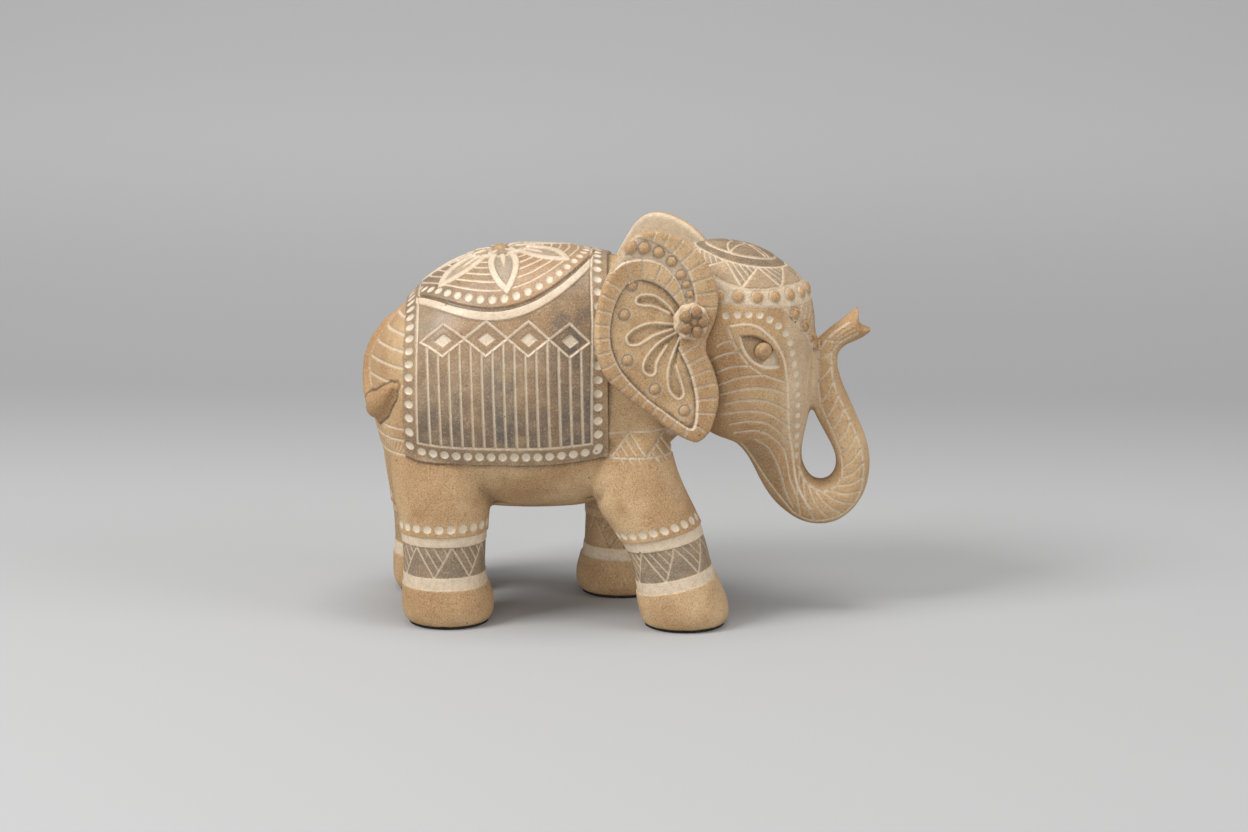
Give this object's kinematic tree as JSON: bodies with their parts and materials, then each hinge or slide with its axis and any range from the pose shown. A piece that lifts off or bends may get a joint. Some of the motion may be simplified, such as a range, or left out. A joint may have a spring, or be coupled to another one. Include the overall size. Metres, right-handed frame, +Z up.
{
  "type": "elephant figurine",
  "caption": "Carved standing elephant ornament with a raised trunk, broad pinned-on ears, a patterned saddle cloth and felt pads under its feet.",
  "frame": {"origin": "on the surface it stands on, under the centre of its bounding box", "axes": "+X towards the head, along the length; +Y towards the elephant's left side; +Z up"},
  "size_m": [0.1999, 0.0936, 0.156],
  "materials": {
    "carved_body": "matte sandy wash with cream-filled carving and dark grey-brown wash in the bands",
    "carved_ears": "matte sandy wash with cream-filled carving",
    "bosses": "matte sandy wash",
    "dowels": "plain turned dowel, hidden",
    "beads": "satin brown",
    "foot_pads": "thin black felt"
  },
  "bodies": {
    "root": {"carved_block": "carved_body", "ear_left": "carved_ears", "ear_right": "carved_ears", "ear_boss_left": "bosses", "ear_boss_right": "bosses", "upper_ear_dowel_left": "dowels", "upper_ear_dowel_right": "dowels", "lower_ear_dowel_left": "dowels", "lower_ear_dowel_right": "dowels", "eye_bead_left": "beads", "eye_bead_right": "beads", "back_finial": "beads", "foot_pad_hind_right": "foot_pads", "foot_pad_hind_left": "foot_pads", "foot_pad_front_right": "foot_pads", "foot_pad_front_left": "foot_pads"}
  },
  "joints": []
}
